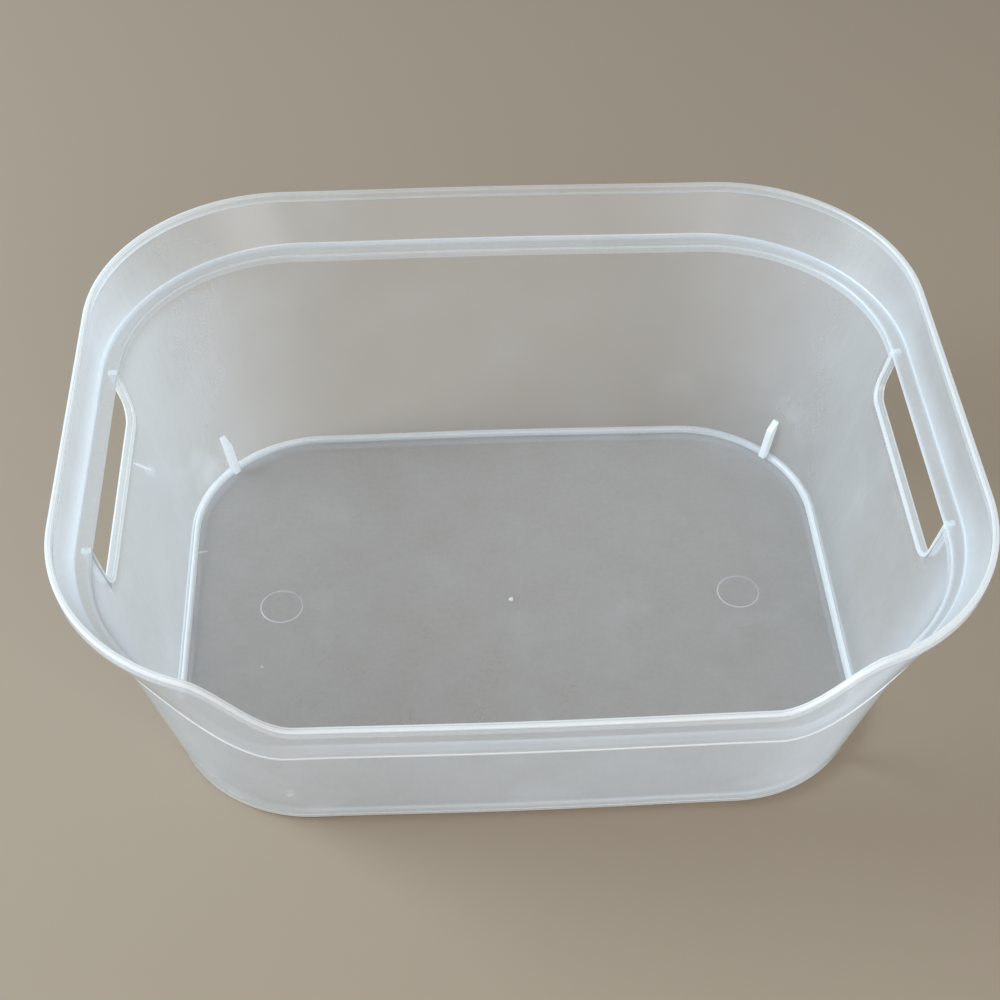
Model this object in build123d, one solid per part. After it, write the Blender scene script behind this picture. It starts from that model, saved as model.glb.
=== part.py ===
from build123d import *
import math
import os

# Open storage bin with a hand hole in each short side, moulded in one shot of frosted polypropylene.
# Millimetres. Origin at the middle of the underside, +X along the long side, +Y to the back, +Z up.
# The front long side dips, so the contents can be seen and reached. The moulding is divided here
# into its regions, each a closed solid that meets its neighbours face to face.

# ---- driving dimensions -------------------------------------------------------------------------
WALL = 1.5                      # wall thickness, measured level
FOOT_HEIGHT = 1.2               # standing ring under the floor
FOOT_INSET = 2.6                # from the floor's outer edge to the ring
FOOT_WIDTH = 2.4
FLOOR_TOP = 3.0
FLOOR_EDGE = 0.5                # slope round the floor's lower edge

FLOOR_HALF = (137.3, 103.1)     # inner edge of the floor: half length, half depth
FLOOR_RADIUS = 56.0
LEDGE_HALF = (158.2, 120.4)     # inner edge of the ledge at the sides and back
LEDGE_FRONT_HALF_DEPTH = 123.4  # the same at the front, where the ledge sits lower and further out
LEDGE_RADIUS = 70.0
LEDGE_TOP = 99.0
LEDGE_THICKNESS = 1.6
FOLD_HALF = (164.5, 127.4)      # line where the ledge turns up into the band, on the inside
FOLD_RADIUS = 80.0
RIM_HALF = (170.0, 136.0)       # outer edge of the lip
RIM_RADIUS = 78.0
RIM_TOP = 121.0
LIP_WIDTH = 2.5
LIP_HEIGHT = 4.0
LIP_CHAMFER = 0.6
LIP_OVERHANG = 0.5              # lip beyond the band, inside and outside alike

RIM_DIP = 22.6                  # how much lower the lip is at the front
RIM_DIP_X = (82.0, 118.0)       # full dip up to the first |x|, none from the second
LEDGE_DIP = 24.6
LEDGE_DIP_X = (87.0, 143.0)

FRONT_FLAT_HALF = 80.0          # straight, fully dipped middle stretch of the front
CORNER_STEPS = 18               # facets of a quarter turn
LEAD_IN_STEPS = 2               # facets from the flat stretch to the start of a front corner's turn
LAST_STEP = CORNER_STEPS + LEAD_IN_STEPS

HAND_HOLE_CENTRE_Y = -2.0
HAND_HOLE_LENGTH = 94.6
HAND_HOLE_BOTTOM = 77.5
HAND_HOLE_RADIUS = 7.0
HAND_RIM_THICKNESS = 1.8
HAND_RIM_DEPTH = 2.1            # beyond the wall's outer surface

RIB_FACET = 8                   # facet of the corner, counted from the short side, that has the rib
RIB_TOP = 22.0
RIB_SHOULDER = 18.0             # where the rib's inner edge starts to slope back to the wall
RIB_DEPTH = 3.4
RIB_THICKNESS = 3.0
BITE = 0.6                      # how far a rib is drawn into the wall before the wall is cut from it
SEAM = 0.01                     # clearance where two warped faces meet, in the front corners

LEDGE_BOTTOM = LEDGE_TOP - LEDGE_THICKNESS
BAND_TOP = RIM_TOP - LIP_HEIGHT
QUARTERS = {"back_right": (1, 1), "back_left": (-1, 1), "front_left": (-1, -1), "front_right": (1, -1)}


# ---- the outlines, all divided alike ------------------------------------------------------------
def eased(ratio):
    """0 to 1 with a level start and end."""
    t = min(max(ratio, 0.0), 1.0)
    return t * t * (3.0 - 2.0 * t)


def dip(x, y, depth, span):
    """How far a line drops at a point of the front; nothing at the back."""
    if y >= 0:
        return 0.0
    return depth * (1.0 - eased((abs(x) - span[0]) / (span[1] - span[0])))


def first_quarter(half, radius, step):
    """A point and its outward normal where X and Y are positive, before mirroring.

    Steps run from the short side (0) round the quarter turn, then along to the flat stretch."""
    centre_x, centre_y = half[0] - radius, half[1] - radius
    if step <= CORNER_STEPS:
        angle = math.pi / 2 * step / CORNER_STEPS
        normal = (math.cos(angle), math.sin(angle))
        return (centre_x + radius * normal[0], centre_y + radius * normal[1]), normal
    share = (step - CORNER_STEPS) / LEAD_IN_STEPS
    return (centre_x + (FRONT_FLAT_HALF - centre_x) * share, half[1]), (0.0, 1.0)


def outline(half, radius, quarter, step):
    """The same point and normal in one of the four quarters."""
    sign_x, sign_y = QUARTERS[quarter]
    (x, y), (nx, ny) = first_quarter(half, radius, step)
    return (sign_x * x, sign_y * y), (sign_x * nx, sign_y * ny)


def lift(point, z):
    return Vector(point[0], point[1], z)


def shift(point, direction, distance):
    return (point[0] + direction[0] * distance, point[1] + direction[1] * distance)


class Station:
    """Every named point of the moulding's cross-section at one step of one quarter."""

    def __init__(self, quarter, step):
        front = quarter.startswith("front")
        self.warped = front and 0 < step < LAST_STEP
        ledge_half = (LEDGE_HALF[0], LEDGE_FRONT_HALF_DEPTH if front else LEDGE_HALF[1])
        floor, self.normal = outline(FLOOR_HALF, FLOOR_RADIUS, quarter, step)
        ledge, _ = outline(ledge_half, LEDGE_RADIUS, quarter, step)
        fold, _ = outline(FOLD_HALF, FOLD_RADIUS, quarter, step)
        rim, _ = outline(RIM_HALF, RIM_RADIUS, quarter, step)
        ledge_dip = dip(*fold, LEDGE_DIP, LEDGE_DIP_X)
        rim_dip = dip(*rim, RIM_DIP, RIM_DIP_X)
        self.floor = lift(floor, FLOOR_TOP)
        self.ledge = lift(ledge, LEDGE_TOP - ledge_dip)
        self.fold = lift(fold, LEDGE_TOP - ledge_dip)
        band_top = shift(rim, self.normal, -(LIP_OVERHANG + WALL))
        self.band_top = lift(band_top, BAND_TOP - rim_dip)
        self.rim = lift(rim, RIM_TOP - rim_dip)
        self.out = Vector(self.normal[0], self.normal[1], 0)

    def lower_wall(self):
        """From the floor to the underside of the ledge, whose line it follows where the ledge slopes."""
        under, along = self.ledge_under(), self.out
        if self.warped:
            along = (self.band_foot() - under).normalized()
            under -= Vector(0, 0, SEAM)
        return [self.floor, self.floor + self.out * WALL, under + along * WALL, under]

    def band_foot(self):
        """The band's inner line, carried down to the underside of the ledge."""
        rise = self.band_top - self.fold
        return self.fold - rise * (LEDGE_THICKNESS / rise.Z)

    def ledge_under(self):
        return self.ledge + (self.band_foot() - self.fold)

    def ledge_strip(self):
        """From the lower wall's inner line out to the band."""
        back = (self.ledge - self.fold).normalized() * (SEAM if self.warped else 0)
        return [self.ledge_under(), self.band_foot() + back, self.fold + back, self.ledge]

    def band(self):
        foot = self.band_foot()
        return [foot, foot + self.out * WALL, self.band_top + self.out * WALL, self.band_top]

    def lip(self):
        up = Vector(0, 0, 1)
        outer_low = self.rim - up * LIP_HEIGHT
        inner_low = outer_low - self.out * LIP_WIDTH
        inner = self.rim - self.out * LIP_WIDTH
        return [
            inner_low,
            outer_low,
            self.rim - up * LIP_CHAMFER,
            self.rim - self.out * LIP_CHAMFER,
            inner + self.out * LIP_CHAMFER,
            inner - up * LIP_CHAMFER,
        ]


# ---- stretches of wall --------------------------------------------------------------------------
def loft_stretch(stations, section):
    """One closed solid through the same section at each station."""
    wires = [Wire.make_polygon(section(station), close=True) for station in stations]
    return Solid.make_loft(wires, ruled=True)


def corner(quarter):
    """The stations of one corner. A front corner also takes the lead-in to the flat stretch."""
    last = LAST_STEP if quarter.startswith("front") else CORNER_STEPS
    return [Station(quarter, step) for step in range(last + 1)]


def straight(first, second, step):
    """The two stations that bound a straight stretch between two quarters."""
    return [Station(first, step), Station(second, step)]


def stretches():
    """Name and stations of the eight stretches that go round the bin."""
    runs = {
        "front": straight("front_left", "front_right", LAST_STEP),
        "right": straight("front_right", "back_right", 0),
        "back": straight("back_right", "back_left", CORNER_STEPS),
        "left": straight("back_left", "front_left", 0),
    }
    for quarter in QUARTERS:
        runs["corner_" + quarter] = corner(quarter)
    return runs


# ---- floor and foot -----------------------------------------------------------------------------
def floor_outline(outset, z):
    """The whole floor outline as one closed polygon, moved outwards by outset."""
    points = []
    for quarter in QUARTERS:
        steps = range(CORNER_STEPS + 1)
        if QUARTERS[quarter][0] * QUARTERS[quarter][1] < 0:
            steps = reversed(steps)
        for step in steps:
            point, normal = outline(FLOOR_HALF, FLOOR_RADIUS, quarter, step)
            points.append(lift(shift(point, normal, outset), z))
    return Wire.make_polygon(points, close=True)


def floor_panel():
    outlines = [
        floor_outline(WALL - FLOOR_EDGE, FOOT_HEIGHT),
        floor_outline(WALL, FOOT_HEIGHT + FLOOR_EDGE),
        floor_outline(WALL, FLOOR_TOP),
    ]
    return Solid.make_loft(outlines, ruled=True)


def foot_ring():
    outer = floor_outline(WALL - FOOT_INSET, 0)
    inner = floor_outline(WALL - FOOT_INSET - FOOT_WIDTH, 0)
    ring = Face(outer, [inner])
    return extrude(ring, amount=FOOT_HEIGHT, dir=(0, 0, 1))


# ---- hand holes ---------------------------------------------------------------------------------
def hole_profile(grow):
    """The hand hole's outline in the YZ plane, grown by an offset. Its top edge is the ledge."""
    length = HAND_HOLE_LENGTH + 2 * grow
    bottom = HAND_HOLE_BOTTOM - grow
    height = 2 * (LEDGE_BOTTOM - bottom)
    shape = RectangleRounded(length, height, HAND_HOLE_RADIUS + grow)
    return Plane.YZ * Pos(HAND_HOLE_CENTRE_Y, bottom + height / 2) * shape


def hole_cutter(grow, side_sign):
    """The outline swept through one short side."""
    inner_x, outer_x = FLOOR_HALF[0], RIM_HALF[0]
    prism = extrude(hole_profile(grow), amount=outer_x - inner_x, dir=(1, 0, 0))
    prism = Pos(inner_x, 0, 0) * prism
    return prism if side_sign > 0 else mirror(prism, about=Plane.YZ)


def hand_hole_rim(side_sign, stations):
    """U-shaped flange round the ends and bottom of the hand hole, on the wall's outer surface."""
    wall_out, under_out = stations[0].lower_wall()[1:3]
    deeper = Vector(side_sign * HAND_RIM_DEPTH, 0, 0)
    section = [Vector(p.X, 0, p.Z) for p in (wall_out, under_out, under_out + deeper, wall_out + deeper)]
    face = Face(Wire.make_polygon(section, close=True))
    slab = extrude(face, amount=HAND_HOLE_LENGTH, dir=(0, 1, 0), both=True)
    frame = hole_cutter(HAND_RIM_THICKNESS, side_sign) - hole_cutter(0, side_sign)
    return slab & frame


# ---- stacking ribs ------------------------------------------------------------------------------
def wall_point(stations, z):
    """A point half way across the rib's facet, on the wall's inner surface at height z."""
    ends = []
    for station in stations[RIB_FACET:RIB_FACET + 2]:
        foot, head = station.floor, station.ledge_under()
        ends.append(foot + (head - foot) * ((z - foot.Z) / (head.Z - foot.Z)))
    return (ends[0] + ends[1]) / 2


def stacking_rib(stations, wall):
    """A short upright rib on the inside of a corner, standing on the floor."""
    out = (stations[RIB_FACET].out + stations[RIB_FACET + 1].out).normalized()
    across = Vector(-out.Y, out.X, 0)
    foot = wall_point(stations, FLOOR_TOP)
    shoulder = wall_point(stations, RIB_SHOULDER)
    top = wall_point(stations, RIB_TOP)
    section = [
        foot + out * BITE,
        foot - out * RIB_DEPTH,
        shoulder - out * RIB_DEPTH,
        top,
        top + out * BITE,
    ]
    start = across * (-RIB_THICKNESS / 2)
    face = Face(Wire.make_polygon([point + start for point in section], close=True))
    rib = extrude(face, amount=RIB_THICKNESS, dir=tuple(across))
    return rib - wall


# ---- the whole bin ------------------------------------------------------------------------------
def build():
    parts = {"floor_panel": floor_panel(), "foot_ring": foot_ring()}
    for name, stations in stretches().items():
        parts["lower_wall_" + name] = loft_stretch(stations, Station.lower_wall)
        parts["ledge_" + name] = loft_stretch(stations, Station.ledge_strip)
        parts["upper_band_" + name] = loft_stretch(stations, Station.band)
        parts["rim_lip_" + name] = loft_stretch(stations, Station.lip)
        if name.startswith("corner_"):
            rib_name = name.replace("corner_", "stacking_rib_")
            parts[rib_name] = stacking_rib(stations, parts["lower_wall_" + name])
        if name in ("left", "right"):
            side_sign = 1 if name == "right" else -1
            parts["lower_wall_" + name] -= hole_cutter(0, side_sign)
            parts["hand_hole_rim_" + name] = hand_hole_rim(side_sign, stations)
    return parts


os.makedirs("parts", exist_ok=True)
for node, shape in build().items():
    export_step(shape, f"parts/{node}.step")
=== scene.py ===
import math

import bmesh
import bpy
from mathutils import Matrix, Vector


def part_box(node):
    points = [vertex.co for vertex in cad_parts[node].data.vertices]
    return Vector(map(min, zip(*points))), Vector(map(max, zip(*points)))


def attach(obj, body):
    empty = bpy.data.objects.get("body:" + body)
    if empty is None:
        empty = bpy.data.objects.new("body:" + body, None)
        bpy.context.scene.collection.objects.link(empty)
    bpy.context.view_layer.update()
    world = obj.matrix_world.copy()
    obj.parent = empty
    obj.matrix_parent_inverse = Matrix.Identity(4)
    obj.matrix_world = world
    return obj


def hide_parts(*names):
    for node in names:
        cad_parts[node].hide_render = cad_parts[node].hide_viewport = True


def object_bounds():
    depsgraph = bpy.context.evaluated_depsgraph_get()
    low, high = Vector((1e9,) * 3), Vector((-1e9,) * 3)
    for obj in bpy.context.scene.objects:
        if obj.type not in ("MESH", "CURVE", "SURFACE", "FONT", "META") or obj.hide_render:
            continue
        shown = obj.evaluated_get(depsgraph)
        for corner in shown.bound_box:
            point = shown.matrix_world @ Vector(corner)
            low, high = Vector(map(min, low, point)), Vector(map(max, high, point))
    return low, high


# Open storage bin of frosted polypropylene. Metres, origin under the middle of the bin, +X along
# the long side, +Y to the back, +Z up. Every piece is a closed mesh. The walls, ledge, band, lip
# and foot each run all the way round in one, so that no joint shows in the see-through plastic.

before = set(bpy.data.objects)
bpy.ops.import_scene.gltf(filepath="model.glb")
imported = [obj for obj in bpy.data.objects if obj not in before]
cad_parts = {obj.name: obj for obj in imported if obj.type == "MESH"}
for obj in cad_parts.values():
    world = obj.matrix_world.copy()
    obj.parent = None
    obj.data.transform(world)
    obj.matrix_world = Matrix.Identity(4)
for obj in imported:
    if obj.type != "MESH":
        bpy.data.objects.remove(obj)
cad_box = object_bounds()
NODES = list(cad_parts)
BODY = "root"


def corners(node):
    low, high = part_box(node)
    return Vector(low), Vector(high)


# ---- sizes --------------------------------------------------------------------------------------
# Half lengths and half depths are to the inner face, and for the rim to the outer edge.
WALL = 0.0015
FLOOR_LOW = corners("floor_panel")[0].z
FLOOR_TOP = corners("floor_panel")[1].z

FLOOR_HALF, FLOOR_RADIUS = (0.1373, 0.1031), 0.056
LEDGE_HALF, LEDGE_RADIUS = (0.1582, 0.1204), 0.070
LEDGE_FRONT_HALF_DEPTH = 0.1234 # at the front the ledge sits lower and further out
FOLD_HALF, FOLD_RADIUS = (0.1645, 0.1274), 0.080
RIM_HALF, RIM_RADIUS = (cad_box[1][0], cad_box[1][1]), 0.078
RIM_TOP = cad_box[1][2]
LEDGE_TOP = corners("ledge_back")[1].z
LEDGE_THICKNESS = 0.0016
LIP_WIDTH, LIP_HEIGHT, LIP_OVERHANG = 0.0025, 0.004, 0.0005

# How much lower the front is, fully up to the first |x| and not at all from the second.
RIM_DIP, RIM_DIP_X = 0.0226, (0.082, 0.118)
LEDGE_DIP, LEDGE_DIP_X = 0.0246, (0.087, 0.143)
LONG_SIDE_BOW = 0.0008          # the long sides belly out a little in the middle

HOLE_CENTRE_Y, HOLE_LENGTH = -0.002, 0.0946
HOLE_BOTTOM, HOLE_RADIUS = 0.0775, 0.007
HAND_RIM_THICKNESS, HAND_RIM_DEPTH = 0.0018, 0.0021

HAIR = 0.00004                  # clearance between pieces that meet face to face

TURN_STEPS = 32                 # stops in each quarter turn
LONG_STEPS, SHORT_STEPS = 64, 12


# ---- stops round the bin ------------------------------------------------------------------------
def stops():
    """Places round the bin as (cx, cy, nx, ny): shares of the way to a corner's centre, and the
    outward normal. Every outline has a point at every stop."""
    found = []
    turns = ((1, 1, 0), (-1, 1, 90), (-1, -1, 180), (1, -1, 270))
    for cx, cy, start in turns:
        for i in range(TURN_STEPS + 1):
            angle = math.radians(start + 90 * i / TURN_STEPS)
            found.append((cx, cy, math.cos(angle), math.sin(angle)))
        long_side = start in (0, 180)
        count = LONG_STEPS if long_side else SHORT_STEPS
        nx, ny = found[-1][2:]
        for i in range(1, count):
            share = 1 - 2 * i / count
            if long_side:
                found.append((cx * share, cy, nx, ny))
            else:
                found.append((cx, cy * share, nx, ny))
    return found


STOPS = stops()


def outline(half, radius, stop):
    """The point of a rounded rectangle at a stop, with its long sides bowed out a little."""
    cx, cy, nx, ny = stop
    x = (half[0] - radius) * cx + radius * nx
    y = (half[1] - radius) * cy + radius * ny
    if abs(cx) < 1:
        y += math.copysign(LONG_SIDE_BOW * (1 - cx * cx) ** 2, cy)
    return Vector((x, y, 0))


def eased(ratio):
    """0 to 1 with a gentle start and end."""
    t = min(max(ratio, 0.0), 1.0)
    return t * t * (3 - 2 * t)


def dip(point, depth, span):
    """How far the front is lowered at a point."""
    if point.y >= 0:
        return 0.0
    return depth * (1 - eased((abs(point.x) - span[0]) / (span[1] - span[0])))


class Section:
    """The named points of the moulding's cross-section at one stop."""

    def __init__(self, stop):
        self.out = Vector((stop[2], stop[3], 0))
        self.up = Vector((0, 0, 1))
        ledge_half = (LEDGE_HALF[0], LEDGE_FRONT_HALF_DEPTH if stop[1] < 0 else LEDGE_HALF[1])
        self.floor = outline(FLOOR_HALF, FLOOR_RADIUS, stop)
        self.ledge = outline(ledge_half, LEDGE_RADIUS, stop)
        self.fold = outline(FOLD_HALF, FOLD_RADIUS, stop)
        self.rim = outline(RIM_HALF, RIM_RADIUS, stop)
        self.floor.z = FLOOR_TOP
        self.ledge.z = self.fold.z = LEDGE_TOP - dip(self.fold, LEDGE_DIP, LEDGE_DIP_X)
        self.rim.z = RIM_TOP - dip(self.rim, RIM_DIP, RIM_DIP_X)
        self.band_top = self.rim - self.out * (LIP_OVERHANG + WALL) - self.up * LIP_HEIGHT

    def milk_and_glow(self, least):
        """How milky and bright an edge is here, down to least along the back: the brightness is painted
        edge glow, and its fading along the back is painted shade.
        """
        return 1 - (1 - least) * max(self.out.y, 0)

    def wall_point(self, share):
        """On the lower wall's inner line, from the floor (0) to the ledge's top (1)."""
        return self.floor.lerp(self.ledge, share)


SECTIONS = [Section(stop) for stop in STOPS]


# ---- mesh helpers -------------------------------------------------------------------------------
# Edges and corners gather the light inside the plastic and look milky; that bright glow is painted here
# as a whiter, denser film, together with the real whitening of thick or marked plastic. Each face corner
# carries both as the milk attribute, from 0 on a plain wall to 1 on a bright edge.
def rounded(corners, steps=4):
    """A closed cross-section from (point, radius, milk) corners, each made an arc of its radius.
    Gives (point, milk) pairs."""
    count = len(corners)
    result = []
    for i, (corner, radius, milk_and_glow) in enumerate(corners):
        if radius <= 0:
            result.append((corner.copy(), milk_and_glow))
            continue
        before = (corners[i - 1][0] - corner).normalized()
        after = (corners[(i + 1) % count][0] - corner).normalized()
        half_turn = before.angle(after) / 2
        reach = radius / math.tan(half_turn)
        centre = corner + (before + after).normalized() * (radius / math.sin(half_turn))
        start, end = corner + before * reach - centre, corner + after * reach - centre
        sweep = start.angle(end)
        for k in range(steps + 1):
            t = k / steps
            arm = start * math.sin((1 - t) * sweep) + end * math.sin(t * sweep)
            result.append((centre + arm / math.sin(sweep), milk_and_glow))
    return result


def finish_mesh(name, bm, sharp_degrees=50):
    """Turns a bmesh into a smooth-shaded object with its hard edges marked."""
    bmesh.ops.recalc_face_normals(bm, faces=bm.faces)
    for face in bm.faces:
        face.smooth = True
    mesh = bpy.data.meshes.new(name)
    bm.to_mesh(mesh)
    bm.free()
    mesh.set_sharp_from_angle(angle=math.radians(sharp_degrees))
    piece = bpy.data.objects.new(name, mesh)
    bpy.context.scene.collection.objects.link(piece)
    return piece


def skin_loops(bm, loops, closed):
    """Quads between successive closed loops of (point, milk); the ends are capped unless closed."""
    layer = bm.loops.layers.float.get("milk_and_glow") or bm.loops.layers.float.new("milk_and_glow")
    milk_at = {}
    rings = []
    for loop in loops:
        ring = [bm.verts.new(point) for point, milk_and_glow in loop]
        milk_at.update(zip(ring, [milk_and_glow for point, milk_and_glow in loop]))
        rings.append(ring)
    count = len(rings[0])
    pairs = list(zip(rings, rings[1:] + rings[:1])) if closed else list(zip(rings, rings[1:]))
    faces = []
    for one, two in pairs:
        for i in range(count):
            j = (i + 1) % count
            faces.append(bm.faces.new((one[i], one[j], two[j], two[i])))
    if not closed:
        faces.append(bm.faces.new(rings[0][::-1]))
        faces.append(bm.faces.new(rings[-1]))
    for face in faces:
        for corner in face.loops:
            corner[layer] = milk_at[corner.vert]


def swept_ring(name, profile):
    """A closed ring: profile(section) gives the cross-section's points at each stop."""
    bm = bmesh.new()
    skin_loops(bm, [profile(section) for section in SECTIONS], closed=True)
    return finish_mesh(name, bm)


def bake_modifiers(piece):
    """Replaces the piece's mesh with its evaluated one and drops the modifiers."""
    depsgraph = bpy.context.evaluated_depsgraph_get()
    mesh = bpy.data.meshes.new_from_object(piece.evaluated_get(depsgraph))
    piece.modifiers.clear()
    piece.data = mesh


# ---- floor and foot -----------------------------------------------------------------------------
RING_MARK_X, RING_MARK_Y, RING_MARK_RADIUS = 0.098, 0.0018, 0.0088
RING_MARK_WIDTH, RING_MARK_HEIGHT = 0.0007, 0.00018
RING_MARK_MILK, RING_MARK_FADING = 0.2, 0.9
GATE_RADIUS, GATE_HEIGHT, GATE_MILK = 0.0011, 0.0005, 0.9
# The floor plate's rounded lower edge; its milk paints a bright highlight line along the base.
FLOOR_EDGE_RADIUS, FLOOR_EDGE_MILK = 0.0011, 0.8
COVE = 0.0017                   # inside radius between floor and wall
ARC_STEPS = 6                   # facets of a small rounding made by hand
FADE = 0.0004                   # over which a milky edge fades out


def floor_loop(inset, z, milk_and_glow=0.0):
    """The floor's outline at a height, some way in from the wall's outer face."""
    rise = Vector((0, 0, z - FLOOR_TOP))
    return [(section.floor + section.out * (WALL - inset) + rise, milk_and_glow) for section in SECTIONS]


def add_turned(bm, centre, profile, milk_and_glow, fading=0.0, steps=48):
    """A turned feature about a vertical axis; profile is a closed list of (radius, height).
    With fading, the side towards +X and +Y is flatter and less milky."""
    loops = []
    for i in range(steps):
        angle = 2 * math.pi * i / steps
        strength = 1 - fading * (0.5 + 0.5 * math.cos(angle - math.pi / 4))
        direction = Vector((math.cos(angle), math.sin(angle), 0))
        up = Vector((0, 0, strength))
        loops.append([(centre + direction * r + up * h, milk_and_glow * strength) for r, h in profile])
    skin_loops(bm, loops, closed=True)


def floor_panel():
    """The plate, with a rounded lower edge, ejector-pin rings and the stub of the gate."""
    edge, underside_inset = FLOOR_EDGE_RADIUS, 0.006
    bm = bmesh.new()
    loops = [floor_loop(underside_inset, FLOOR_LOW), floor_loop(edge + FADE, FLOOR_LOW)]
    for i in range(ARC_STEPS + 1):
        turn = math.pi / 2 * i / ARC_STEPS
        inset, rise = edge * (1 - math.sin(turn)), edge * (1 - math.cos(turn))
        loops.append(floor_loop(inset, FLOOR_LOW + rise, FLOOR_EDGE_MILK))
    loops.append(floor_loop(0, FLOOR_TOP))
    loops.append(floor_loop(WALL + COVE, FLOOR_TOP))
    skin_loops(bm, loops, closed=False)
    sunk = -HAIR
    ring = [
        (RING_MARK_RADIUS - RING_MARK_WIDTH / 2, sunk),
        (RING_MARK_RADIUS, RING_MARK_HEIGHT),
        (RING_MARK_RADIUS + RING_MARK_WIDTH / 2, sunk),
    ]
    for x in (-RING_MARK_X, RING_MARK_X):
        centre = Vector((x, RING_MARK_Y, FLOOR_TOP))
        add_turned(bm, centre, ring, RING_MARK_MILK, fading=RING_MARK_FADING)
    axis = 0.0001
    gate = [(axis, sunk), (axis, GATE_HEIGHT), (GATE_RADIUS * 0.7, GATE_HEIGHT), (GATE_RADIUS, sunk)]
    add_turned(bm, Vector((0, RING_MARK_Y, FLOOR_TOP)), gate, GATE_MILK, steps=24)
    return finish_mesh("floor_plate", bm, 40)


def foot_ring():
    """The ring that the bin stands on, set in a little under the floor's edge."""
    inset, width, edge = 0.0026, 0.0024, 0.0005
    height = FLOOR_LOW - HAIR

    def profile(section):
        outer = section.floor + section.out * (WALL - inset)
        outer.z = 0
        inner = outer - section.out * width
        top = section.up * height
        return rounded([(inner, edge, 0), (outer, edge, 0), (outer + top, 0, 0), (inner + top, 0, 0)])

    return swept_ring("standing_ring", profile)


# ---- walls --------------------------------------------------------------------------------------
NECK, NECK_MILK = 0.0036, 0.3   # the milkier strip of wall under the ledge, its height first
SOLE = 0.0009                   # height of the milky line along the foot of the wall, a painted highlight where the edge catches light
COVE_BACK_SHADED_GLOW = 0.06           # how much of its painted glow the cove keeps along the back, painted shade there
LEDGE_BACK_SHADED_GLOW = 0.15          # the same for the ledge's inner edge
LEDGE_HAZE = 0.12               # over the ledge's top
LEDGE_SIDE_PAINTED_LIGHT = 0.25          # more of it at the short sides, painted light where they are brightly lit
BAND_SIDE_PAINTED_LIGHT = 0.03           # painted light over the band's inner face at the short sides
BAND_FOOT_PAINTED_LIGHT = 0.2            # more of it at the foot, gone at BAND_FOOT_REACH of the height
BAND_FOOT_REACH = 0.6
# The lip: how much painted edge glow its top keeps along the back (painted shade there), the milk on its
# sides, and its edge radius.
LIP_BACK_SHADED_GLOW, LIP_SIDE_MILK, LIP_EDGE = 0.06, 0.04, 0.0007


def lower_wall():
    """Coved at the floor, straight above; the hand holes are cut out afterwards."""
    levels = 8

    def profile(section):
        length = (section.ledge - section.floor).length
        rise = (section.ledge - section.floor) / length
        foot = section.floor + section.up * HAIR
        result = []
        for i in range(ARC_STEPS + 1):
            t = i / ARC_STEPS
            start = foot - section.out * COVE
            bend = start.lerp(foot, t).lerp(foot.lerp(foot + rise * COVE, t), t)
            result.append((bend, section.milk_and_glow(COVE_BACK_SHADED_GLOW)))
        low, high = (COVE + FADE) / length, 1 - (NECK + FADE) / length
        top_share = 1 - (LEDGE_THICKNESS + HAIR) / (section.ledge.z - section.floor.z)
        for i in range(levels + 1):
            result.append((section.wall_point(low + (high - low) * i / levels), 0.0))
        top = section.wall_point(top_share)
        result.append((section.wall_point(1 - NECK / length), NECK_MILK))
        result.append((top, NECK_MILK))
        out = section.out * WALL
        for i in range(levels):
            result.append((top.lerp(foot, i / levels) + out, 0.0))
        result.append((foot + rise * (SOLE + FADE) + out, 0.0))
        result.append((foot + rise * SOLE + out, 1.0))
        result.append((foot + out, 1.0))
        return result

    return swept_ring("wall", profile)


def ledge():
    """The level step, rounded over at its inner edge and filleted into the band."""
    edge, low_edge, fillet, shoulder = 0.0011, 0.0004, 0.0006, 0.0016

    def profile(section):
        share = LEDGE_THICKNESS / (section.ledge.z - section.floor.z)
        inner_low = section.ledge.lerp(section.floor, share)
        slope = (section.band_top - section.fold) / (section.band_top.z - section.fold.z)
        outer = section.fold - section.out * HAIR
        drop = section.up * LEDGE_THICKNESS
        bright = section.milk_and_glow(LEDGE_BACK_SHADED_GLOW)
        # Haze over the ledge's top, whiter at the short sides as painted light.
        haze_and_side_light = LEDGE_HAZE + LEDGE_SIDE_PAINTED_LIGHT * section.out.x ** 2
        return rounded([
            (inner_low, low_edge, bright),
            (inner_low + section.out * shoulder, 0, 0),
            (outer - drop, 0, 0),
            (outer + slope * fillet * 1.3, 0, 0),
            (outer, fillet, haze_and_side_light),
            (section.ledge + section.out * shoulder, 0, haze_and_side_light),
            (section.ledge, edge, max(haze_and_side_light, bright * 0.4)),
        ])

    return swept_ring("ledge_step", profile)


def upper_band():
    """Leans out from the ledge up to the lip, whiter at the short sides as painted light, with a bead
    along its foot.
    """
    levels, hem, bead = 6, 0.0009, 0.0004

    def profile(section):
        rise = section.band_top - section.fold
        slope = rise / rise.z
        foot = section.fold - slope * LEDGE_THICKNESS
        top = section.band_top - section.up * HAIR
        wall = section.out * WALL
        result = []
        for i in range(levels + 1):
            t = i / levels
            haze_and_side_light = BAND_SIDE_PAINTED_LIGHT + BAND_FOOT_PAINTED_LIGHT * max(1 - t / BAND_FOOT_REACH, 0)
            result.append((foot.lerp(top, t), 0, section.out.x ** 2 * haze_and_side_light))
        proud = section.out * bead
        result.append((top + wall, 0, 0))
        result.append((foot + wall + slope * (hem + FADE), 0, 0))
        result.append((foot + wall + slope * hem, 0, 0.6))
        result.append((foot + wall + slope * hem * 0.7 + proud, bead * 0.6, 1))
        result.append((foot + wall + proud, bead, 1))
        result.append((foot + wall * 0.4, 0, 0.3))
        return rounded(result)

    return swept_ring("band", profile)


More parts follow.
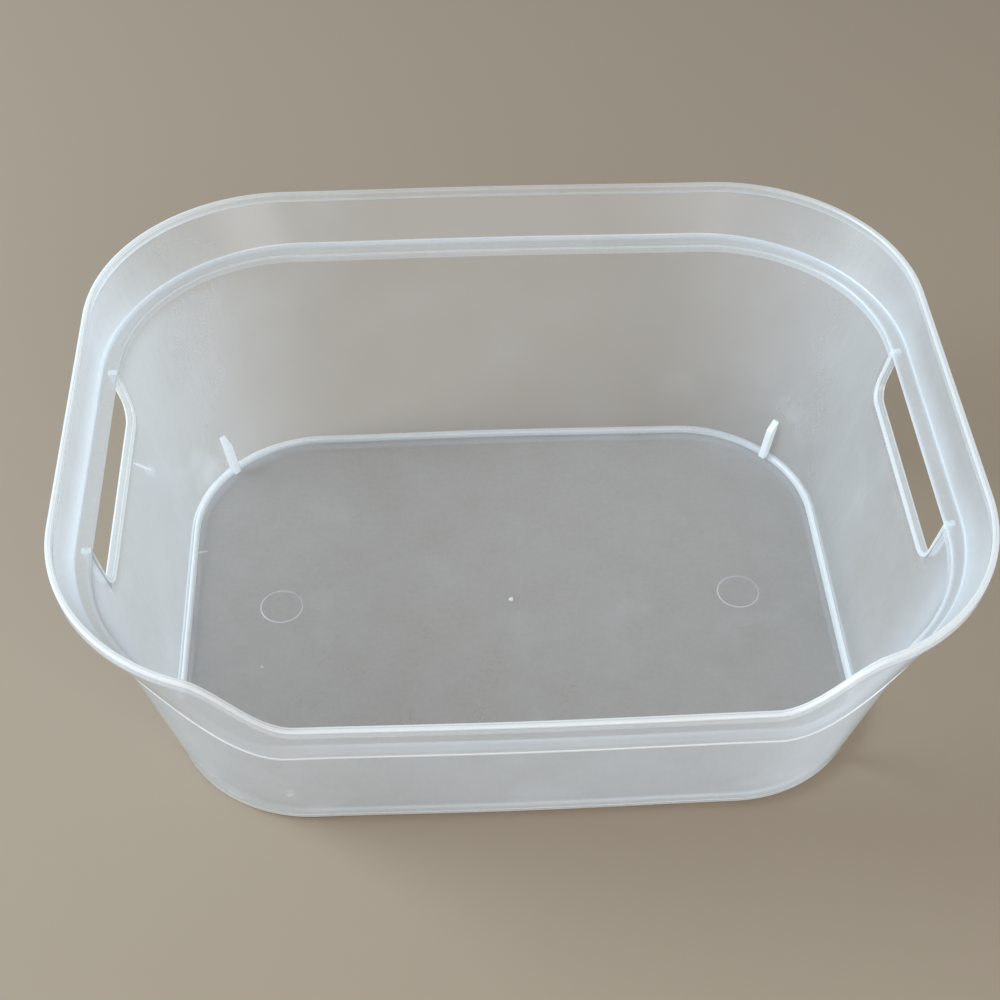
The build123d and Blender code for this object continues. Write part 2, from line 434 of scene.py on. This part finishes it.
def rim_lip():
    """The thick bead round the top edge, with a clearer line along the middle of its top between two
    edges painted with glow that is dimmed along the back.
    """
    edge, low_edge, side = LIP_EDGE, 0.0004, LIP_SIDE_MILK

    def profile(section):
        high_out = section.rim
        high_in = high_out - section.out * LIP_WIDTH
        drop = section.up * LIP_HEIGHT
        bright = section.milk_and_glow(LIP_BACK_SHADED_GLOW)
        return rounded([
            (high_in - drop, low_edge, side),
            (high_out - drop, low_edge, side),
            (high_out - drop * 0.28, 0, side),
            (high_out, edge, bright),
            (high_out.lerp(high_in, 0.55), 0, bright * 0.2),
            (high_in, edge, bright),
            (high_in - drop * 0.28, 0, side),
        ])

    return swept_ring("lip", profile)


# ---- hand holes ---------------------------------------------------------------------------------
def hole_path(grow, top, flare=0.0, arc_steps=10):
    """The hole's U-shaped outline as (y, z), down one end, along the bottom and up the other.
    With flare, its two tops lean apart."""
    half = HOLE_LENGTH / 2 + grow
    low = HOLE_BOTTOM - grow
    radius = HOLE_RADIUS + grow
    path = [(half + flare, top)]
    for start, cy in ((0, half - radius), (-90, radius - half)):
        for i in range(arc_steps + 1):
            angle = math.radians(start - 90 * i / arc_steps)
            path.append((cy + radius * math.cos(angle), low + radius + radius * math.sin(angle)))
    path.append((-half - flare, top))
    return [(y + HOLE_CENTRE_Y, z) for y, z in path]


def side_x(z):
    """The inner face of a short side at a height."""
    share = (z - FLOOR_TOP) / (LEDGE_TOP - FLOOR_TOP)
    return FLOOR_HALF[0] + (LEDGE_HALF[0] - FLOOR_HALF[0]) * share


def cut_hole(piece, side):
    """Cuts one hand hole and the seat of its flange out of the lower wall."""
    bm = bmesh.new()
    near, far = FLOOR_HALF[0], RIM_HALF[0]
    path = hole_path(HAND_RIM_THICKNESS, LEDGE_TOP + WALL)
    loops = [[(Vector((side * x, y, z)), 0.0) for y, z in path] for x in (near, far)]
    skin_loops(bm, loops, closed=False)
    cutter = finish_mesh("cutter", bm)
    cut = piece.modifiers.new("hand_hole", "BOOLEAN")
    cut.operation = "DIFFERENCE"
    cut.solver = "EXACT"
    cut.object = cutter
    bake_modifiers(piece)
    bpy.data.objects.remove(cutter)


def hand_hole_rim(side):
    """The flange round the ends and bottom of the hand hole, standing proud on the outside. Its
    ends come up through the ledge as small ears."""
    ear, flare = 0.00015, 0.0009
    edge, outer_edge, fading, clear_milk = 0.0005, 0.0004, 0.24, 0.1
    inner = hole_path(0, LEDGE_TOP + ear)
    outer = hole_path(HAND_RIM_THICKNESS, LEDGE_TOP + ear, flare)
    depth = WALL + HAND_RIM_DEPTH
    loops = []
    for (y0, z0), (y1, z1) in zip(inner, outer):
        near_hole = Vector((side * side_x(z0), y0, z0))
        near_wall = Vector((side * side_x(z1), y1, z1))
        out = Vector((side * depth, 0, 0))
        loops.append(rounded([
            (near_hole, edge, 1),
            (near_hole + out * fading, 0, clear_milk),
            (near_hole + out * (1 - fading), 0, clear_milk),
            (near_hole + out, outer_edge, 0.9),
            (near_wall + out, outer_edge, 0.5),
            (near_wall, 0, 0.6),
        ]))
    bm = bmesh.new()
    skin_loops(bm, loops, closed=False)
    return finish_mesh("grip_rim_" + ("right" if side > 0 else "left"), bm)


# ---- stacking ribs ------------------------------------------------------------------------------
RIB_TURN = 42.5                 # degrees from the short side's normal
RIB_TOP, RIB_SHOULDER = 0.022, 0.018    # heights; above the shoulder the rib slopes back
RIB_DEPTH, RIB_THICKNESS = 0.0034, 0.003


def stacking_rib(name, sign_x, sign_y):
    """A short upright rib inside a corner, sloped back to the wall at its top."""
    turn = math.radians(RIB_TURN)
    section = Section((sign_x, sign_y, sign_x * math.cos(turn), sign_y * math.sin(turn)))
    across = section.out.cross(section.up) * (RIB_THICKNESS / 2)

    def at(z, depth):
        share = (z - FLOOR_TOP) / (section.ledge.z - FLOOR_TOP)
        return section.wall_point(share) - section.out * depth

    sunk = -WALL * 0.3
    outline_points = rounded([
        (at(FLOOR_TOP + HAIR, sunk), 0, 0.7),
        (at(FLOOR_TOP + HAIR, RIB_DEPTH), 0.0006, 1),
        (at(RIB_SHOULDER, RIB_DEPTH), 0.0012, 1),
        (at(RIB_TOP, 0), 0.0006, 1),
        (at(RIB_TOP, sunk), 0, 0.7),
    ])
    loops = [[(p + across * face, milk_and_glow) for p, milk_and_glow in outline_points] for face in (1, -1)]
    bm = bmesh.new()
    skin_loops(bm, loops, closed=False)
    piece = finish_mesh(name, bm)
    bevel = piece.modifiers.new("edges", "BEVEL")
    bevel.width, bevel.segments, bevel.limit_method = 0.0007, 3, "ANGLE"
    bevel.angle_limit = math.radians(50)
    bake_modifiers(piece)
    return piece


# ---- material -----------------------------------------------------------------------------------
THROUGH, THROUGH_DENSE = 0.5, 0.58  # share of a film's light that passes on, clear and milky
CORNER_HAZE_AND_LIGHT = 0.8                   # how much denser and whiter the film is in the corners: partly milkier moulding far from the gate, partly painted light shining through the corners
SCUFF = 0.35                        # the same where it is rubbed
MOTTLE, FINE_MOTTLE = 0.22, 0.176   # unevenness of the film, in clouds and in grain or flow lines
LEAST_COSINE = 0.16                 # keeps the path through the film short of endless, edge on
CLEAR_TINT = (0.985, 0.99, 0.995)   # the plastic under the film
MILK_AND_GLOW_TINT = (0.95, 0.97, 0.975)     # the film where it is milky, and where edge glow is painted
REFRACTIVE_INDEX, STRAIGHT_ON_GLOSS = 1.49, 0.04
BUMP_STRENGTH, BUMP_DISTANCE = 0.12, 0.0004
WEAR_MATTNESS = 0.16                # how much rougher the surface is where it is cloudy or rubbed
RUBBED_HEIGHTS = (0.045, 0.004)     # over which rubbing sets in, downwards


class Graph:
    """Small helper for wiring a material's nodes."""

    def __init__(self, name):
        self.material = bpy.data.materials.new(name)
        self.material.use_nodes = True
        self.tree = self.material.node_tree
        self.tree.nodes.clear()

    def node(self, kind, inputs=None, **settings):
        made = self.tree.nodes.new(kind)
        for key, value in settings.items():
            setattr(made, key, value)
        for key, value in (inputs or {}).items():
            self.feed(made.inputs[key], value)
        return made

    def feed(self, socket, value):
        if isinstance(value, bpy.types.NodeSocket):
            self.tree.links.new(value, socket)
        else:
            socket.default_value = value

    def maths(self, operation, *values):
        made = self.node("ShaderNodeMath", operation=operation)
        for socket, value in zip(made.inputs, values):
            self.feed(socket, value)
        return made.outputs[0]

    def ramp(self, value, low, high):
        """0 below low, 1 above high, smooth between."""
        inputs = {"Value": value, "From Min": low, "From Max": high}
        made = self.node("ShaderNodeMapRange", inputs, interpolation_type="SMOOTHSTEP")
        return made.outputs["Result"]

    def noise(self, place, scale, detail, stretch=(1, 1, 1)):
        mapping = self.node("ShaderNodeMapping", {"Vector": place, "Scale": stretch})
        inputs = {"Vector": mapping.outputs[0], "Scale": scale, "Detail": detail}
        return self.node("ShaderNodeTexNoise", inputs).outputs["Fac"]

    def blend(self, factor, first, second):
        made = self.node("ShaderNodeMixShader", {0: factor})
        self.feed(made.inputs[1], first.outputs[0])
        self.feed(made.inputs[2], second.outputs[0])
        return made


def cornering(graph, axes):
    """0 along the sides of the bin, 1 where it turns its corners, far from the gate. The film is made
    denser there, partly as milkier moulding and partly as painted light shining through the corners.
    """
    along = graph.maths("ABSOLUTE", graph.maths("DIVIDE", axes.outputs["X"], FOLD_HALF[0]))
    across = graph.maths("ABSOLUTE", graph.maths("DIVIDE", axes.outputs["Y"], FOLD_HALF[1]))
    return graph.ramp(graph.maths("MULTIPLY", along, across), 0.30, 0.68)


def scuffing(graph, place, axes, corner):
    """Rubbed patches, most of them low on the corners."""
    patches = graph.ramp(graph.noise(place, 30, 3), 0.54, 0.74)
    low = graph.ramp(axes.outputs["Z"], *RUBBED_HEIGHTS)
    rubbed = graph.maths("MULTIPLY_ADD", graph.maths("MULTIPLY", low, corner), 4.0, 0.5)
    return graph.maths("MULTIPLY", patches, rubbed)


# Scratches and knocks: (middle, reach along its own axes, turn in degrees, how milky).
WALL_MARKS = (
    ((-0.1508, 0.0265, 0.0650), (0.0120, 0.0016, 0.0006), (0, 52, 74), 0.5),
    ((-0.1490, 0.0330, 0.0560), (0.0050, 0.0020, 0.0030), (0, 52, 74), 0.06),
    ((-0.0894, -0.1109, 0.0262), (0.0014, 0.0030, 0.0024), (0, 20, 0), 0.4),
    ((-0.1230, -0.0925, 0.0170), (0.0060, 0.0050, 0.0060), (0, 0, -40), 0.2),
    ((-0.1124, -0.0970, 0.0085), (0.0040, 0.0040, 0.0030), (0, 0, -30), 0.2),
)
FLOOR_MARKS = (
    ((-0.1345, 0.0348, 0.0030), (0.0036, 0.0006, 0.0010), (0, 0, 8), 0.5),
    ((-0.1051, -0.0307, 0.0030), (0.0006, 0.0005, 0.0010), (0, 0, 0), 0.6),
)


def marking(graph, place, marks):
    """Ragged milky spots where the plastic is scratched or knocked."""
    total = 0.0
    ragged = graph.maths("MULTIPLY", graph.noise(place, 700, 3), 1.2)
    for middle, reach, turn, milky in marks:
        angles = [math.radians(angle) for angle in turn]
        inputs = {"Vector": place, "Location": middle, "Rotation": angles, "Scale": reach}
        local = graph.node("ShaderNodeMapping", inputs, vector_type="TEXTURE")
        away = graph.node("ShaderNodeVectorMath", {0: local.outputs[0]}, operation="LENGTH")
        inside = graph.ramp(graph.maths("ADD", away.outputs["Value"], ragged), 1.8, 1.2)
        total = graph.maths("MULTIPLY_ADD", inside, milky, total)
    return total


def film_opacity(graph, textures, film, facing):
    """How much the film hides of what lies behind it: more where it is looked at aslant."""
    maths = graph.maths
    uneven = maths("MULTIPLY_ADD", textures["cloud"], MOTTLE * 2, 1 - MOTTLE)
    for fine in (textures["flow"], textures["grain"]):
        uneven = maths("MULTIPLY_ADD", maths("SUBTRACT", fine, 0.5), FINE_MOTTLE, uneven)
    path = maths("DIVIDE", 1.0, maths("MAXIMUM", maths("SUBTRACT", 1.0, facing), LEAST_COSINE))
    density = maths("MULTIPLY", maths("MULTIPLY", film, uneven), path)
    return maths("SUBTRACT", 1.0, maths("EXPONENT", maths("MULTIPLY", density, -1.0)))


def plastic(name, clear, dense, roughness, tint, marks=()):
    """Frosted polypropylene: a milky film over clear plastic, whiter and denser where the milk attribute
    marks real whitening and painted edge glow. clear and dense are the film's density where milk is 0 and
    1."""
    graph = Graph(name)
    maths, noise = graph.maths, graph.noise
    place = graph.node("ShaderNodeTexCoord").outputs["Object"]
    textures = {
        "cloud": noise(place, 36, 5),
        "grain": noise(place, 1400, 2),
        "flow": noise(place, 420, 2, stretch=(1, 1, 0.05)),
    }
    axes = graph.node("ShaderNodeSeparateXYZ", {0: place})
    corner = cornering(graph, axes)
    wear = scuffing(graph, place, axes, corner)
    milk_and_glow = graph.node("ShaderNodeAttribute", attribute_name="milk_and_glow").outputs["Fac"]
    milk_and_glow = maths("ADD", milk_and_glow, marking(graph, place, marks))
    facing = graph.node("ShaderNodeLayerWeight", {"Blend": 0.5}).outputs["Facing"]
    film = maths("MULTIPLY_ADD", corner, clear * CORNER_HAZE_AND_LIGHT, clear)
    film = maths("MULTIPLY_ADD", wear, clear * SCUFF, film)
    film = maths("MULTIPLY_ADD", milk_and_glow, dense - clear, film)
    opacity = film_opacity(graph, textures, film, facing)

    ripple = maths("MULTIPLY_ADD", textures["flow"], 0.15, textures["cloud"])
    ripple = maths("MULTIPLY_ADD", textures["grain"], 0.05, ripple)
    relief = {"Strength": BUMP_STRENGTH, "Distance": BUMP_DISTANCE, "Height": ripple}
    normal = graph.node("ShaderNodeBump", relief).outputs["Normal"]
    clouded = maths("ADD", textures["cloud"], wear)
    matt = maths("MULTIPLY_ADD", clouded, WEAR_MATTNESS, roughness - WEAR_MATTNESS / 2)

    whitening = {0: milk_and_glow, 1: Vector(MILK_AND_GLOW_TINT) - Vector(tint), 2: tint}
    colour = graph.node("ShaderNodeVectorMath", whitening, operation="MULTIPLY_ADD").outputs["Vector"]
    surface = {"Base Color": colour, "IOR": REFRACTIVE_INDEX, "Roughness": matt, "Normal": normal}
    skin = graph.node("ShaderNodeBsdfPrincipled", surface)
    through = graph.node("ShaderNodeBsdfTranslucent", {"Color": colour})
    passing = maths("MULTIPLY_ADD", milk_and_glow, THROUGH_DENSE - THROUGH, THROUGH)
    clear_plastic = graph.node("ShaderNodeBsdfTransparent", {"Color": (*CLEAR_TINT, 1)})
    filmed = graph.blend(opacity, clear_plastic, graph.blend(passing, skin, through))

    gloss = graph.node("ShaderNodeBsdfGlossy", {"Roughness": matt, "Normal": normal})
    glancing = maths("POWER", facing, 5.0)
    mirror = maths("MULTIPLY_ADD", glancing, 1 - STRAIGHT_ON_GLOSS, STRAIGHT_ON_GLOSS)
    behind = graph.node("ShaderNodeNewGeometry").outputs["Backfacing"]
    in_front = maths("SUBTRACT", 1.0, behind)
    coat = graph.blend(maths("MULTIPLY", mirror, in_front), filmed, gloss)
    graph.node("ShaderNodeOutputMaterial", {"Surface": coat.outputs[0]})
    return graph.material


# ---- assembly -----------------------------------------------------------------------------------
def stand_in(piece, material, *prefixes):
    """Gives a piece its material and lets it stand for its CAD nodes."""
    piece.data.materials.clear()
    piece.data.materials.append(material)
    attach(piece, BODY)
    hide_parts(*[node for node in NODES if node.startswith(prefixes)])


TINT = (0.885, 0.935, 0.99)
wall_plastic = plastic("wall_plastic", 0.115, 1.6, 0.34, TINT, WALL_MARKS)
floor_plastic = plastic("floor_plastic", 0.25, 1.2, 0.42, (0.84, 0.85, 0.865), FLOOR_MARKS)
band_plastic = plastic("band_plastic", 0.115, 1.6, 0.32, TINT)
edge_plastic = plastic("edge_plastic", 0.12, 2.2, 0.24, (0.93, 0.96, 0.985))

stand_in(floor_panel(), floor_plastic, "floor_panel")
stand_in(foot_ring(), floor_plastic, "foot_ring")
wall = lower_wall()
for side in (-1, 1):
    cut_hole(wall, side)
    name = "right" if side > 0 else "left"
    stand_in(hand_hole_rim(side), edge_plastic, "hand_hole_rim_" + name)
stand_in(wall, wall_plastic, "lower_wall_")
stand_in(ledge(), band_plastic, "ledge_")
stand_in(upper_band(), band_plastic, "upper_band_")
stand_in(rim_lip(), edge_plastic, "rim_lip_")
for depth_name, sign_y in (("back", 1), ("front", -1)):
    for side_name, sign_x in (("right", 1), ("left", -1)):
        corner_name = depth_name + "_" + side_name
        rib = stacking_rib("rib_" + corner_name, sign_x, sign_y)
        stand_in(rib, edge_plastic, "stacking_rib_" + corner_name)


# ---- stage --------------------------------------------------------------------------------------
def ground():
    """A plain pale floor."""
    half = 3.0
    bm = bmesh.new()
    bm.faces.new([bm.verts.new((x * half, y * half, 0)) for x, y in ((-1, -1), (1, -1), (1, 1), (-1, 1))])
    mesh = bpy.data.meshes.new("ground")
    bm.to_mesh(mesh)
    bm.free()
    piece = bpy.data.objects.new("ground", mesh)
    bpy.context.scene.collection.objects.link(piece)
    material = bpy.data.materials.new("ground")
    material.use_nodes = True
    shader = material.node_tree.nodes["Principled BSDF"]
    shader.inputs["Base Color"].default_value = (0.292, 0.234, 0.173, 1)
    shader.inputs["Roughness"].default_value = 0.9
    mesh.materials.append(material)


def area_light(name, location, aim, size, power, colour):
    """A round soft light, size metres across and power watts strong."""
    data = bpy.data.lights.new(name, "AREA")
    data.shape, data.size, data.energy, data.color = "DISK", size, power, colour
    lamp = bpy.data.objects.new(name, data)
    lamp.location = location
    lamp.rotation_euler = (Vector(aim) - Vector(location)).to_track_quat("-Z", "Y").to_euler()
    bpy.context.scene.collection.objects.link(lamp)


def stage():
    """The floor, a cool window on the left, a soft fill from the front and an even surround."""
    ground()
    centre = (0, 0, 0.06)
    area_light("window", (-1.5, 0.1, 0.85), centre, 1.1, 42, (0.72, 0.88, 1.0))
    area_light("fill", (0.35, -1.4, 0.8), centre, 1.2, 15, (1.0, 0.98, 0.96))
    world = bpy.data.worlds.new("studio")
    world.use_nodes = True
    world.node_tree.nodes["Background"].inputs["Color"].default_value = (0.90, 0.90, 0.89, 1)
    world.node_tree.nodes["Background"].inputs["Strength"].default_value = 0.55
    scene = bpy.context.scene
    scene.world = world
    scene.cycles.transparent_max_bounces = 64
    scene.view_settings.view_transform = "Standard"


def camera():
    """Looks down into the bin from the front, at 64 mm on a 36 mm sensor."""
    data = bpy.data.cameras.new("camera")
    data.lens, data.sensor_width, data.clip_start = 64.0, 36.0, 0.01
    view = bpy.data.objects.new("camera", data)
    view.location = (-0.03597, -0.49552, 0.58164)
    view.rotation_euler = [math.radians(angle) for angle in (43.93, -0.54, -2.96)]
    bpy.context.scene.collection.objects.link(view)
    bpy.context.scene.camera = view


stage()
camera()
